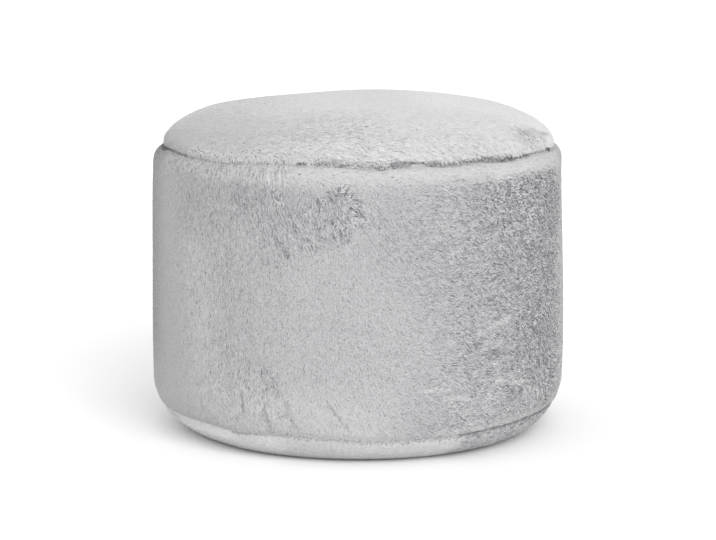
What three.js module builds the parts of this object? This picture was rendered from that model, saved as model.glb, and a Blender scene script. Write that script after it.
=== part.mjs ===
// A round pouf in short faux fur: a drum of one side panel, with a domed top panel and a shallow base panel.
//
// The three panels are sewn to each other edge to edge, with no piping, and stuffed firm. Each is modelled as
// the filled solid that it holds in shape, parted from its neighbour at the height of the seam between them,
// and each reaches as far out as the tips of the pile.
//
// Units are millimetres. +Z is up, the floor is z = 0, and the drum's axis is x = y = 0. The front of the
// pouf faces -Y, and a "turn" is the angle round the drum from there, in degrees, counted towards +X.

import * as THREE from 'three';

// ---- Driving dimensions ----

const HEIGHT = 403; // floor to the top of the dome

const WIDEST_RADIUS = 250; // the wall of the drum, where it is fullest
const WIDEST_HEIGHT = 140;
const WALL_TAPER = 3.4; // how much the wall has drawn in by the shoulder

const SHOULDER_HEIGHT = 320; // where the wall starts to turn in to the top seam
const SHOULDER_POWER = 2.8; // 2 is a plain ellipse, and more is squarer

const TOP_SEAM_RADIUS = 234;
const TOP_SEAM_HEIGHT = 343.5;
const TOP_SEAM_SINK = 3; // how far the stitching lies below the shoulder beside it
const TOP_EDGE_ROLL = 5; // how far the edges roll in to the stitching
const DOME_POWER = 2.3;

const REST_RADIUS = 187; // the edge of the flat that stands on the floor
const BASE_ROUND_HEIGHT = 64; // where the rounding over the floor has become the wall
const BASE_ROUND_POWER = 1.9;
const BASE_SEAM_HEIGHT = 36.5;
const BASE_EDGE_ROLL = 2.5;

const PANEL_GAP = 0.3; // between neighbouring panels
const SECTIONS = 80; // round the drum

// ---- Unevenness of the hand-filled form ----

// Where the top seam runs higher or lower than its ring. span is how far round a wave reaches, in degrees.
const TOP_SEAM_WAVES = [
  { turn: -60, span: 9, lift: -1.5 },
  { turn: -43, span: 7, lift: -2.0 },
  { turn: -24, span: 7, lift: 2.5 },
  { turn: -6, span: 6, lift: 2.2 },
  { turn: 6, span: 6, lift: -2.6 },
  { turn: 16, span: 6, lift: 2.8 },
  { turn: 26, span: 6, lift: -1.8 },
  { turn: 36, span: 6, lift: 1.7 },
  { turn: 47, span: 7, lift: -2.1 },
  { turn: 59, span: 8, lift: 1.0 },
  { turn: 84, span: 12, lift: -2.2 },
  { turn: 122, span: 10, lift: 1.6 },
  { turn: 150, span: 9, lift: -1.4 },
  { turn: 188, span: 12, lift: 1.8 },
  { turn: 226, span: 9, lift: -1.6 },
  { turn: 268, span: 12, lift: -2.2 },
];

// The same for the base seam.
const BASE_SEAM_WAVES = [
  { turn: -36, span: 6, lift: -2.4 },
  { turn: -20, span: 9, lift: 2.2 },
  { turn: 14, span: 13, lift: -2.8 },
  { turn: 62, span: 13, lift: 2.8 },
  { turn: 130, span: 14, lift: -1.6 },
  { turn: 200, span: 16, lift: 1.8 },
  { turn: 262, span: 14, lift: -1.5 },
];

// Soft swells and hollows (minus) of the wall and of the rounding over the floor. span is in degrees round
// the drum, reach is up and down it, and out and up are how far the middle of each swell is pushed.
const WALL_SWELLS = [
  { turn: 90, height: 110, span: 26, reach: 55, out: 1.2, up: 0 },
  { turn: 90, height: 275, span: 24, reach: 45, out: -0.9, up: 0 },
  { turn: -90, height: 295, span: 24, reach: 45, out: 0.8, up: 0 },
  { turn: -50, height: 14, span: 14, reach: 14, out: -1.2, up: 1.6 },
  { turn: 48, height: 18, span: 20, reach: 16, out: 1.4, up: -0.8 },
  { turn: 4, height: 235, span: 22, reach: 60, out: 0.8, up: 0 },
  { turn: 148, height: 180, span: 24, reach: 70, out: -0.9, up: 0 },
  { turn: 212, height: 120, span: 26, reach: 60, out: 1.0, up: 0 },
];

// The same for the dome: where the middle of each lies, how far it reaches, and how far it stands up.
const DOME_SWELLS = [
  { turn: 152, radius: 150, reach: 62, up: 1.6 },
  { turn: -146, radius: 150, reach: 62, up: -1.6 },
  { turn: 74, radius: 205, reach: 40, up: -1.6 },
  { turn: 10, radius: 120, reach: 70, up: -0.8 },
];

// How far from a seam its waves are felt, up and down the panels beside it.
const TOP_SEAM_REACH = 30;
const BASE_SEAM_REACH = 22;

// ---- Outlines: points (radius, height) of each panel's half section, from the axis at the bottom up ----

// Radius of the wall at a height: widest low down, and drawing in as the square of the way up.
function wallRadius(height) {
  const way = (height - WIDEST_HEIGHT) / (SHOULDER_HEIGHT - WIDEST_HEIGHT);
  return WIDEST_RADIUS - WALL_TAPER * way ** 2;
}

// A quarter of a superellipse. It leaves `upright` going straight up or down, and comes to `level` level.
function roundOver(upright, level, power, steps) {
  const points = [];
  for (let step = 0; step <= steps; step += 1) {
    const angle = (Math.PI / 2) * (step / steps);
    const acrossShare = Math.max(0, Math.cos(angle)) ** (2 / power);
    const alongShare = Math.sin(angle) ** (2 / power);
    points.push(new THREE.Vector2(
      level.x + (upright.x - level.x) * acrossShare,
      upright.y + (level.y - upright.y) * alongShare,
    ));
  }
  return points;
}

// The outline from the edge of the flat base up to the top seam, as one curve that the base seam divides.
function drumOutline() {
  const wallFoot = new THREE.Vector2(wallRadius(BASE_ROUND_HEIGHT), BASE_ROUND_HEIGHT);
  const wallHead = new THREE.Vector2(wallRadius(SHOULDER_HEIGHT), SHOULDER_HEIGHT);
  const baseEdge = new THREE.Vector2(REST_RADIUS, 0);
  const seam = new THREE.Vector2(TOP_SEAM_RADIUS, TOP_SEAM_HEIGHT);
  const points = roundOver(wallFoot, baseEdge, BASE_ROUND_POWER, 12).reverse();
  const bands = 9;
  for (let band = 1; band < bands; band += 1) {
    const height = BASE_ROUND_HEIGHT + (SHOULDER_HEIGHT - BASE_ROUND_HEIGHT) * (band / bands);
    points.push(new THREE.Vector2(wallRadius(height), height));
  }
  points.push(...roundOver(wallHead, seam, SHOULDER_POWER, 7));
  return points;
}

const DRUM = drumOutline();

// The point of the drum's outline at a height.
function drumPoint(height) {
  const above = DRUM.findIndex((point) => point.y >= height);
  const low = DRUM[above - 1];
  const high = DRUM[above];
  return low.clone().lerp(high, (height - low.y) / (high.y - low.y));
}

// The floor face, and the two places where panels lie on each other. Each is flat out to its radius.
const FLOOR_FACE = { height: 0, radius: REST_RADIUS };
const BASE_FACE = { height: BASE_SEAM_HEIGHT, radius: drumPoint(BASE_SEAM_HEIGHT).x - BASE_EDGE_ROLL };
const TOP_FACE = { height: TOP_SEAM_HEIGHT - TOP_SEAM_SINK, radius: TOP_SEAM_RADIUS - TOP_EDGE_ROLL };

// A panel's flat side, from the axis out to where its edge rolls away. `clear` lifts it off the neighbour, and
// `inset` starts the roll that much further in.
function flatSide(face, clear, inset = 0) {
  const height = face.height + clear;
  return [new THREE.Vector2(0, height), new THREE.Vector2(face.radius - inset, height)];
}

function topPanelOutline() {
  const rollShare = 0.3; // where the middle of the rolled edge lies, a quarter round
  const edge = new THREE.Vector2(
    TOP_SEAM_RADIUS - TOP_EDGE_ROLL * rollShare,
    TOP_SEAM_HEIGHT + TOP_EDGE_ROLL * rollShare,
  );
  const springing = new THREE.Vector2(TOP_SEAM_RADIUS, TOP_SEAM_HEIGHT + TOP_EDGE_ROLL);
  const apex = new THREE.Vector2(0, HEIGHT);
  const underside = flatSide(TOP_FACE, PANEL_GAP / 2, 2 * PANEL_GAP);
  return [...underside, edge, ...roundOver(springing, apex, DOME_POWER, 14)];
}

function sidePanelOutline() {
  const lip = drumPoint(BASE_SEAM_HEIGHT + BASE_EDGE_ROLL);
  const wall = DRUM.filter((point) => point.y > lip.y + 1);
  const underTop = flatSide(TOP_FACE, -PANEL_GAP / 2).reverse();
  return [...flatSide(BASE_FACE, PANEL_GAP / 2), lip, ...wall, ...underTop];
}

function basePanelOutline() {
  const lip = drumPoint(BASE_SEAM_HEIGHT - BASE_EDGE_ROLL);
  const turnUp = DRUM.filter((point) => point.y > 0 && point.y < lip.y - 1);
  return [...flatSide(FLOOR_FACE, 0), ...turnUp, lip, ...flatSide(BASE_FACE, -PANEL_GAP / 2).reverse()];
}

// ---- Unevenness: one smooth shift of space for every panel, which leaves their flat faces alone ----

// A bell: 1 at its middle, and near 0 past two and a half reaches.
function bell(distance, reach) {
  return Math.exp(-0.5 * (distance / reach) ** 2);
}

// The shorter way round between two turns, in degrees.
function turnBetween(first, second) {
  return Math.abs(((((first - second) % 360) + 540) % 360) - 180);
}

// A smooth step from 0 at `low` to 1 at `high`.
function ramp(value, low, high) {
  return THREE.MathUtils.smoothstep(value, low, high);
}

function onFlatFace(radius, height) {
  return [FLOOR_FACE, BASE_FACE, TOP_FACE].some(
    (face) => radius < face.radius + PANEL_GAP && Math.abs(height - face.height) < PANEL_GAP,
  );
}

// Where a turn and a radius lie on the floor plan.
function planPoint(turn, radius) {
  const angle = THREE.MathUtils.degToRad(turn);
  return new THREE.Vector2(radius * Math.sin(angle), -radius * Math.cos(angle));
}

// How much of one of the wall's swells is felt at a turn and height.
function swellShare(swell, turn, height) {
  return bell(turnBetween(turn, swell.turn), swell.span) * bell(height - swell.height, swell.reach);
}

// How high a seam's waves lift it at a turn.
function seamLift(waves, turn) {
  return waves.reduce((sum, wave) => sum + wave.lift * bell(turnBetween(turn, wave.turn), wave.span), 0);
}

// How high the dome's swells lift it over a point of the floor plan.
function domeLift(point) {
  return DOME_SWELLS.reduce((sum, swell) => {
    const away = point.distanceTo(planPoint(swell.turn, swell.radius));
    return sum + swell.up * bell(away, swell.reach);
  }, 0);
}

// How far a point moves outwards and upwards. Both fade away towards the axis, and "up" towards the floor.
function shiftAt(turn, radius, height) {
  const offAxis = ramp(radius, 0, REST_RADIUS);
  const offFloor = ramp(height, 0, BASE_SEAM_HEIGHT / 2);
  const onDome = ramp(height, TOP_SEAM_HEIGHT, HEIGHT);
  const topWave = seamLift(TOP_SEAM_WAVES, turn) * bell(height - TOP_SEAM_HEIGHT, TOP_SEAM_REACH);
  const baseWave = seamLift(BASE_SEAM_WAVES, turn) * bell(height - BASE_SEAM_HEIGHT, BASE_SEAM_REACH);
  let out = 0;
  let up = topWave + baseWave;
  for (const swell of WALL_SWELLS) {
    out += swell.out * swellShare(swell, turn, height);
    up += swell.up * swellShare(swell, turn, height);
  }
  return {
    out: out * offAxis,
    up: up * offAxis * offFloor + domeLift(planPoint(turn, radius)) * onDome,
  };
}

function makeUneven(geometry) {
  const position = geometry.getAttribute('position');
  for (let index = 0; index < position.count; index += 1) {
    const x = position.getX(index);
    const y = position.getY(index);
    const height = position.getZ(index);
    const radius = Math.hypot(x, y);
    if (!onFlatFace(radius, height)) {
      const turn = THREE.MathUtils.radToDeg(Math.atan2(x, -y));
      const shift = shiftAt(turn, radius, height);
      const moved = planPoint(turn, radius + shift.out);
      position.setXYZ(index, moved.x, moved.y, height + shift.up);
    }
  }
  geometry.computeVertexNormals();
}

// ---- The panels ----

const pile = { roughness: 0.95, metalness: 0 };
const topFur = new THREE.MeshStandardMaterial({ color: 0xd2d2d4, ...pile });
const sideFur = new THREE.MeshStandardMaterial({ color: 0xc3c3c6, ...pile });
const baseFur = new THREE.MeshStandardMaterial({ color: 0xbfbfc2, ...pile });

// Turns an outline round the drum's axis, stands it up along +Z and makes it as uneven as a filled cover is.
function makePanel(name, outline, material) {
  const geometry = new THREE.LatheGeometry(outline, SECTIONS);
  geometry.rotateX(Math.PI / 2);
  makeUneven(geometry);
  const panel = new THREE.Mesh(geometry, material);
  panel.name = name;
  return panel;
}

const pouf = new THREE.Group();
pouf.name = 'pouf';
pouf.add(makePanel('top_panel', topPanelOutline(), topFur));
pouf.add(makePanel('side_panel', sidePanelOutline(), sideFur));
pouf.add(makePanel('base_panel', basePanelOutline(), baseFur));

export default pouf;
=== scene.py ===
# %% [markdown]
# # A round pouf in short faux fur
#
# The real pouf is a bag of three fur panels - a domed top, a side wall and a shallow base - sewn edge to
# edge and stuffed firm. This lesson builds it in the same order: the bag is cut and blown up by its
# filling with Blender's cloth simulation, and then the pile grows out of the bag, tuft by tuft, as plain
# mesh.
#
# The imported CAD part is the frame. Its solids reach as far as the tips of the pile, so their boxes give
# the sizes to work to. Everything is in metres: +Z is up, the front faces -Y, and a "turn" is the angle
# round the drum from the front towards +X, in degrees.

import bpy
import numpy as np
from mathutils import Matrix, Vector


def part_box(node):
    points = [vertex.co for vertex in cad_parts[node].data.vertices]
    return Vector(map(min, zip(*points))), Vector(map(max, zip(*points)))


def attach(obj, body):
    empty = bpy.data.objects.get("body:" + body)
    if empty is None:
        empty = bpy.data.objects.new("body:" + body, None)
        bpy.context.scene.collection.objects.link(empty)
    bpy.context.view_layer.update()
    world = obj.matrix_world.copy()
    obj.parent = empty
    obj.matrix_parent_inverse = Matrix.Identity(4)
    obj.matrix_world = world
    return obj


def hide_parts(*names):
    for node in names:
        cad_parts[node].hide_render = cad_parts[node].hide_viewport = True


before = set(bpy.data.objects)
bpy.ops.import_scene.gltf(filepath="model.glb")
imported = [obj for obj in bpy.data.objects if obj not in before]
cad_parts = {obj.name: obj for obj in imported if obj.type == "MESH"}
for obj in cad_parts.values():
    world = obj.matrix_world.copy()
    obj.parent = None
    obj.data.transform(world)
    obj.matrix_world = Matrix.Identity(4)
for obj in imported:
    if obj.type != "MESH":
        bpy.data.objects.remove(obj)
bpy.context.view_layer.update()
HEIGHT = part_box("top_panel")[1].z

# %% [markdown]
# ## Camera, floor and light
#
# A product picture is taken from a little above with a long lens, on a pale sweep of paper, under a large
# soft light. A sun lamp with a very wide disc is the plainest such light: it is the same all over the
# floor, so the paper stays evenly white, and its shadows are soft. The sky fills in the rest.

# %% Camera
CAMERA_DISTANCE = 3.060
CAMERA_ELEVATION = np.radians(9.79)
AIM = Vector((0.0007, 0.0, 0.1890))
LENS_MM = 126.15
SENSOR_MM = 36


def add_object(name, data):
    """An object of that name and data, linked into the scene."""
    thing = bpy.data.objects.new(name, data)
    bpy.context.scene.collection.objects.link(thing)
    return thing


camera_data = bpy.data.cameras.new("camera")
camera_data.lens = LENS_MM
camera_data.sensor_width = SENSOR_MM
camera = add_object("camera", camera_data)
back = Vector((0, -np.cos(CAMERA_ELEVATION), np.sin(CAMERA_ELEVATION)))
camera.location = AIM + back * CAMERA_DISTANCE
camera.rotation_euler = (-back).to_track_quat("-Z", "Y").to_euler()
bpy.context.scene.camera = camera
print("camera at", [round(value, 3) for value in camera.location])

# %% Light
SKY_STRENGTH = 0.96
SUN_STRENGTH = 2.07
SUN_DISC = np.radians(45)
SUN_FROM = Vector((0.70, -1.95, 1.0))

world = bpy.data.worlds.new("studio")
world.use_nodes = True
sky = world.node_tree.nodes["Background"]
sky.inputs["Color"].default_value = (1.0, 1.0, 1.0, 1)
sky.inputs["Strength"].default_value = SKY_STRENGTH
bpy.context.scene.world = world

sun_data = bpy.data.lights.new("softbox", "SUN")
sun_data.energy = SUN_STRENGTH
sun_data.angle = SUN_DISC
sun = add_object("softbox", sun_data)
sun.rotation_euler = SUN_FROM.to_track_quat("Z", "Y").to_euler()
bpy.context.scene.view_settings.view_transform = "Standard"
bearing = np.degrees(np.arctan2(SUN_FROM.x, -SUN_FROM.y))
print("the light comes from", round(bearing), "degrees to the right")

# %% The white sweep of paper
FLOOR_SIDE = 60.0
PAPER = (0.93, 0.93, 0.93, 1)


def new_material(name, values):
    """A material made of nodes, and its Principled shader with those values on its sockets."""
    material = bpy.data.materials.new(name)
    material.use_nodes = True
    shader = material.node_tree.nodes["Principled BSDF"]
    for socket, value in values.items():
        shader.inputs[socket].default_value = value
    return material, shader


floor_mesh = bpy.data.meshes.new("floor")
corners = np.array([(-1, -1), (1, -1), (1, 1), (-1, 1)]) * FLOOR_SIDE / 2
floor_mesh.from_pydata([(x, y, 0.0) for x, y in corners], [], [(0, 1, 2, 3)])
floor = add_object("floor", floor_mesh)
paper, _ = new_material("white_paper", {"Base Color": PAPER, "Roughness": 1.0, "Specular IOR Level": 0.0})
floor_mesh.materials.append(paper)
print("floor", FLOOR_SIDE, "m wide")

# %% [markdown]
# ## The outline of the drum
#
# Half a section through the pouf is one curve from the flat that stands on the floor, round the lower
# corner, up the wall, over the shoulder to the top seam, and on over the dome to the axis. It could be
# drawn point by point, but a few named sizes are easier to change. So each bend is a quarter of a
# superellipse, which is an ellipse with its corner pushed out. The curve is first the outline of the
# pile's tips, as in the CAD, and the bag lies a pile's depth inside it.

# %% Curves of the outline
WIDEST_RADIUS = 0.250
WIDEST_HEIGHT = 0.140
WALL_TAPER = 0.0034
SHOULDER_HEIGHT = 0.320
CURVE_STEPS = 40


def wall_radius(height):
    """Radius of the wall at a height: widest low down, and drawing in as the square of the way up."""
    way = (height - WIDEST_HEIGHT) / (SHOULDER_HEIGHT - WIDEST_HEIGHT)
    return WIDEST_RADIUS - WALL_TAPER * way**2


def round_over(upright, level, power, steps=CURVE_STEPS):
    """A quarter of a superellipse, as rows of (radius, height): it leaves `upright` vertically, and comes
    to `level` horizontally. Across goes as cos(t)^(2/power), and along as sin(t)^(2/power)."""
    angle = np.linspace(0, np.pi / 2, steps)
    across = np.clip(np.cos(angle), 0, 1) ** (2 / power)
    along = np.sin(angle) ** (2 / power)
    radius = level[0] + (upright[0] - level[0]) * across
    height = upright[1] + (level[1] - upright[1]) * along
    return np.column_stack([radius, height])


print("the wall is", 2 * wall_radius(WIDEST_HEIGHT), "m across at its widest")

# %% The drum and the dome
SHOULDER_POWER = 2.8
TOP_SEAM_RADIUS = 0.234
TOP_SEAM_HEIGHT = 0.3435
TOP_SPRINGING = 0.3485
DOME_POWER = 2.3
REST_RADIUS = 0.187
BASE_ROUND_HEIGHT = 0.064
BASE_ROUND_POWER = 1.78


def drum_outline():
    """The tips' outline from the edge of the flat base, up the wall and over the shoulder to the top
    seam: a quarter of a superellipse, the wall, and another quarter, end to end."""
    foot = (wall_radius(BASE_ROUND_HEIGHT), BASE_ROUND_HEIGHT)
    head = (wall_radius(SHOULDER_HEIGHT), SHOULDER_HEIGHT)
    corner = round_over(foot, (REST_RADIUS, 0.0), BASE_ROUND_POWER)[::-1]
    height = np.linspace(BASE_ROUND_HEIGHT, SHOULDER_HEIGHT, CURVE_STEPS)[1:-1]
    wall = np.column_stack([wall_radius(height), height])
    shoulder = round_over(head, (TOP_SEAM_RADIUS, TOP_SEAM_HEIGHT), SHOULDER_POWER)
    return np.vstack([corner, wall, shoulder])


def dome_outline():
    """The tips' outline from the top panel's edge to the axis, which is one quarter of a superellipse."""
    return round_over((TOP_SEAM_RADIUS, TOP_SPRINGING), (0.0, HEIGHT), DOME_POWER, 2 * CURVE_STEPS)


print("the drum's outline is", len(drum_outline()), "points, and the dome's", len(dome_outline()))

# %% [markdown]
# ## Unevenness of a hand-filled bag
#
# No filled cover is a true drum. Its seams wander a little, and the filling swells here and sinks there.
# Noise could do that, but not in the right places. So a short table with a row for each wave or swell
# says where, and the shift of a point is the sum of their bells. The rows are the CAD's own, except that
# the looks have two swells more on the wall, and three swells that go up to 1.6 mm further.

# %% Waves of the seams
MM = 0.001
BASE_SEAM_HEIGHT = 0.0365
TOP_SEAM_REACH = 0.030
BASE_SEAM_REACH = 0.022


def table(columns, *rows):
    """The rows as dictionaries. The names of their columns are given once, in one string."""
    return [dict(zip(columns.split(), row, strict=True)) for row in rows]


def bell(distance, reach):
    """e to the power of minus half the square of distance over reach: 1 in the middle, and near 0 past
    two and a half reaches."""
    return np.exp(-0.5 * (distance / reach) ** 2)


def turn_between(first, second):
    """The shorter way round between two turns, in degrees: the size of their difference, once whole turns
    have brought it between -180 and 180."""
    return np.abs((first - second + 180) % 360 - 180)


def seam_lift(waves, turn):
    """How far a seam's waves lift it at each turn: the sum of one bell for each wave."""
    return sum(wave["lift"] * MM * bell(turn_between(turn, wave["turn"]), wave["span"]) for wave in waves)


# turn and span in degrees, lift in millimetres
TOP_SEAM_WAVES = table(
    "turn span lift",
    (-60, 9, -1.5),
    (-43, 7, -2.0),
    (-24, 7, 2.5),
    (-6, 6, 2.2),
    (6, 6, -2.6),
    (16, 6, 2.8),
    (26, 6, -1.8),
    (36, 6, 1.7),
    (47, 7, -2.1),
    (59, 8, 1.0),
    (84, 12, -2.2),
    (122, 10, 1.6),
    (150, 9, -1.4),
    (188, 12, 1.8),
    (226, 9, -1.6),
    (268, 12, -2.2),
)
BASE_SEAM_WAVES = table(
    "turn span lift",
    (-36, 6, -2.4),
    (-20, 9, 2.2),
    (14, 13, -2.8),
    (62, 13, 2.8),
    (130, 14, -1.6),
    (200, 16, 1.8),
    (262, 14, -1.5),
)
print("top seam wanders", round(float(np.ptp(seam_lift(TOP_SEAM_WAVES, np.arange(360.0)))) / MM, 1), "mm")

# %% Swells of the filling, in degrees and millimetres
WALL_SWELLS = table(
    "turn height span reach out up",
    (90, 110, 26, 55, 1.2, 0),
    (90, 275, 24, 45, -0.9, 0),
    (-90, 295, 24, 45, 0.8, 0),
    (-90, 230, 26, 110, -1.2, 0),
    (90, 350, 14, 12, 3.0, 1.5),
    (-50, 14, 14, 14, -1.2, 1.6),
    (52, 18, 20, 16, 3.0, -1.6),
    (4, 235, 22, 60, 0.8, 0),
    (148, 180, 24, 70, -0.9, 0),
    (212, 120, 26, 60, 1.0, 0),
)
DOME_SWELLS = table(
    "turn radius reach up",
    (152, 150, 62, 1.6),
    (-146, 150, 62, -2.8),
    (74, 205, 40, -3.2),
    (10, 120, 70, -0.8),
)


def ramp(value, low, high):
    """A smooth step from 0 at `low` to 1 at `high`: three times the square of the share of the way
    between them, less twice its cube."""
    share = np.clip((value - low) / (high - low), 0, 1)
    return share * share * (3 - 2 * share)


def plan_point(turn, radius):
    """Where a turn and a radius lie on the floor plan: x is the radius times the sine of the turn, and y
    is minus the radius times its cosine."""
    angle = np.radians(turn)
    return radius * np.sin(angle), -radius * np.cos(angle)


def uneven(turn, radius, height):
    """Points of the even drum, as turn, radius and height, moved outwards and upwards by every wave and
    swell near them. The shift fades to nothing on the axis and, upwards, on the floor."""
    off_axis = ramp(radius, 0, REST_RADIUS)
    off_floor = ramp(height, 0, BASE_SEAM_HEIGHT / 2)
    on_dome = ramp(height, TOP_SEAM_HEIGHT, HEIGHT)
    out = np.zeros_like(turn)
    up = seam_lift(TOP_SEAM_WAVES, turn) * bell(height - TOP_SEAM_HEIGHT, TOP_SEAM_REACH)
    up += seam_lift(BASE_SEAM_WAVES, turn) * bell(height - BASE_SEAM_HEIGHT, BASE_SEAM_REACH)
    for swell in WALL_SWELLS:
        share = bell(turn_between(turn, swell["turn"]), swell["span"])
        share *= bell(height - swell["height"] * MM, swell["reach"] * MM)
        out += swell["out"] * MM * share
        up += swell["up"] * MM * share
    x, y = plan_point(turn, radius)
    dome = np.zeros_like(turn)
    for swell in DOME_SWELLS:
        at_x, at_y = plan_point(swell["turn"], swell["radius"] * MM)
        dome += swell["up"] * MM * bell(np.hypot(x - at_x, y - at_y), swell["reach"] * MM)
    x, y = plan_point(turn, radius + out * off_axis)
    return np.stack([x, y, height + up * off_axis * off_floor + dome * on_dome], axis=-1)


print(len(WALL_SWELLS), "swells on the wall and", len(DOME_SWELLS), "on the dome")

# %% [markdown]
# ## The bag, blown up by its filling
#
# The three panels are one closed skin of evenly spaced rows and columns, so a row number says which panel
# a point belongs to. It could be modelled at its real size, but cloth under pressure bulges between its
# stitches as a real cover does. The stitched rings and the underside are pinned, because thread and floor
# hold them, and Blender's cloth presses the rest outwards. The dome's cover is cut a little short, as a
# real one is, because the filling swells it, and no point may move further than a cap. So the filled bag
# comes out at the real size.

# %% Points along an outline
ROW_STEP = 0.0080
ROW_BEND = np.radians(14)


def ways(outline):
    """How far along the outline each of its points is: the running sum of the steps between points."""
    return np.concatenate([[0], np.cumsum(np.linalg.norm(np.diff(outline, axis=0), axis=1))])


def picked(outline, cost):
    """Points of the outline about 1 apart in a cost that grows along it, on the straight between its own
    points."""
    at = np.linspace(0, cost[-1], max(int(round(cost[-1])), 2) + 1)
    return np.column_stack([np.interp(at, cost, outline[:, 0]), np.interp(at, cost, outline[:, 1])])


def evenly(outline, step):
    """The same outline with its points an even step apart, however they were spaced before. The cost is
    the way along it over the step."""
    return picked(outline, ways(outline) / step)


def bag_spacing(outline):
    """The outline's points for the rows of the bag, closer round a bend than on the straight. The cost is
    the way over ROW_STEP, plus the angle turned so far over ROW_BEND."""
    along = np.diff(outline, axis=0)
    heading = np.unwrap(np.arctan2(along[:, 1], along[:, 0]))
    bend = np.concatenate([[0, 0], np.cumsum(np.abs(np.diff(heading)))])
    return picked(outline, ways(outline) / ROW_STEP + bend / ROW_BEND)


def inset(outline, depth):
    """The outline moved inwards by `depth`, square to its own direction. It runs upwards and then
    inwards, so the outside is on its right."""
    along = np.gradient(outline, axis=0)
    along /= np.linalg.norm(along, axis=1, keepdims=True)
    outward = np.column_stack([along[:, 1], -along[:, 0]])
    return outline - outward * np.reshape(depth, (-1, 1))


drum = evenly(drum_outline(), MM)
dome = evenly(dome_outline(), MM)
print("the drum's section is", round(ways(drum)[-1], 3), "m long, and the dome's", round(ways(dome)[-1], 3))

# %% How far the bag lies inside the tips of the pile
PILE_DEPTH = 0.0018
PRESSED_DEPTH = 0.0012
SEAM_DEPTH = 0.0012
SEAM_FADE = 0.009
FOOT_FADE = 0.022
MOVE_CAP = 0.0015
DOME_HELD = 0.030
DOME_FREE = 0.080
EDGE_EASE = 0.0014
EDGE_RADIUS = 0.213
EDGE_REACH = 0.016


def pile_depth(way):
    """How deep the pile is, by how far it is from the nearest seam: a ramp up from SEAM_DEPTH at the seam
    to PILE_DEPTH at SEAM_FADE from it."""
    return SEAM_DEPTH + (PILE_DEPTH - SEAM_DEPTH) * ramp(way, 0, SEAM_FADE)


def pressed_depth(way):
    """How deep the pile is, by how far it is out from the flat that the pouf stands on: a ramp up from
    PRESSED_DEPTH at the flat's edge to PILE_DEPTH at FOOT_FADE from it."""
    return PRESSED_DEPTH + (PILE_DEPTH - PRESSED_DEPTH) * ramp(way, 0, FOOT_FADE)


def cut_short(outline):
    """How far inside the filled dome its cover is cut: a ramp up to the cap in the middle, which swells
    the most, less a bell of EDGE_EASE round its edge, which the pull of the cloth flattens."""
    inward = MOVE_CAP * ramp(TOP_SEAM_RADIUS - outline[:, 0], DOME_HELD, DOME_FREE)
    outward = EDGE_EASE * bell(outline[:, 0] - EDGE_RADIUS, EDGE_REACH)
    return inward - outward * ramp(ways(outline), 0, SEAM_FADE)


drum_way = ways(drum)
base_seam_way = np.interp(BASE_SEAM_HEIGHT, drum[:, 1], drum_way)
from_seam = np.minimum(np.abs(drum_way - base_seam_way), drum_way[-1] - drum_way)
drum_skin = inset(drum, np.minimum(pile_depth(from_seam), pressed_depth(drum_way)))
slack = cut_short(dome)
dome_skin = inset(dome, pile_depth(ways(dome)) + slack)
print("the pile is", round(PILE_DEPTH / MM, 1), "mm deep, and", round(SEAM_DEPTH / MM, 1), "at the seams")

# %% The bag's rows, each seam drawn in by its stitches
SEAM_TUCK = 0.0015

stitching = np.array([[dome_skin[0, 0] - SEAM_TUCK, (drum_skin[-1, 1] + dome_skin[0, 1]) / 2]])
below_seam = drum_skin[:, 1] < BASE_SEAM_HEIGHT
base_rows = np.vstack([[(0.0, drum_skin[0, 1])], drum_skin[below_seam]])
side_rows = np.vstack([drum_skin[below_seam][-1:], drum_skin[~below_seam], stitching])
top_rows = np.vstack([stitching, dome_skin])
top_rows[-1, 0] = 0.0
base_rows, side_rows, top_rows = (bag_spacing(rows) for rows in (base_rows, side_rows, top_rows))
base_rows[-1, 0] -= SEAM_TUCK
side_rows[0, 0] -= SEAM_TUCK
bag_rows = np.vstack([base_rows, side_rows[1:], top_rows[1:]])
BASE_SEAM_ROW = len(base_rows) - 1
TOP_SEAM_ROW = BASE_SEAM_ROW + len(side_rows) - 1
print(len(bag_rows), "rows; the seams are rows", BASE_SEAM_ROW, "and", TOP_SEAM_ROW)

# %% A closed mesh from rows and columns
COLUMNS = 176
TURNS = np.arange(COLUMNS) * 360.0 / COLUMNS


def ring_grid(rows):
    """Every row of (radius, height) carried round the drum, and made uneven: rows by columns by xyz."""
    turn = np.broadcast_to(TURNS, (len(rows), COLUMNS)).copy()
    radius = np.broadcast_to(rows[:, :1], turn.shape)
    height = np.broadcast_to(rows[:, 1:], turn.shape)
    return uneven(turn, radius, height)


def closed_faces(ring_count, columns):
    """Quads between neighbouring rings, with a fan round the pole at each end. The first vertex is the
    lower pole and the last one the upper pole, and every face looks outwards."""
    ring = 1 + np.arange(ring_count)[:, None] * columns + np.arange(columns)
    after = np.roll(ring, -1, axis=1)
    quads = np.stack([ring[:-1], after[:-1], after[1:], ring[1:]], axis=-1).reshape(-1, 4)
    last = 1 + ring_count * columns
    low = np.column_stack([np.zeros(columns, int), after[0], ring[0]])
    high = np.column_stack([np.full(columns, last), ring[-1], after[-1]])
    return quads, np.vstack([low, high])


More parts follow.
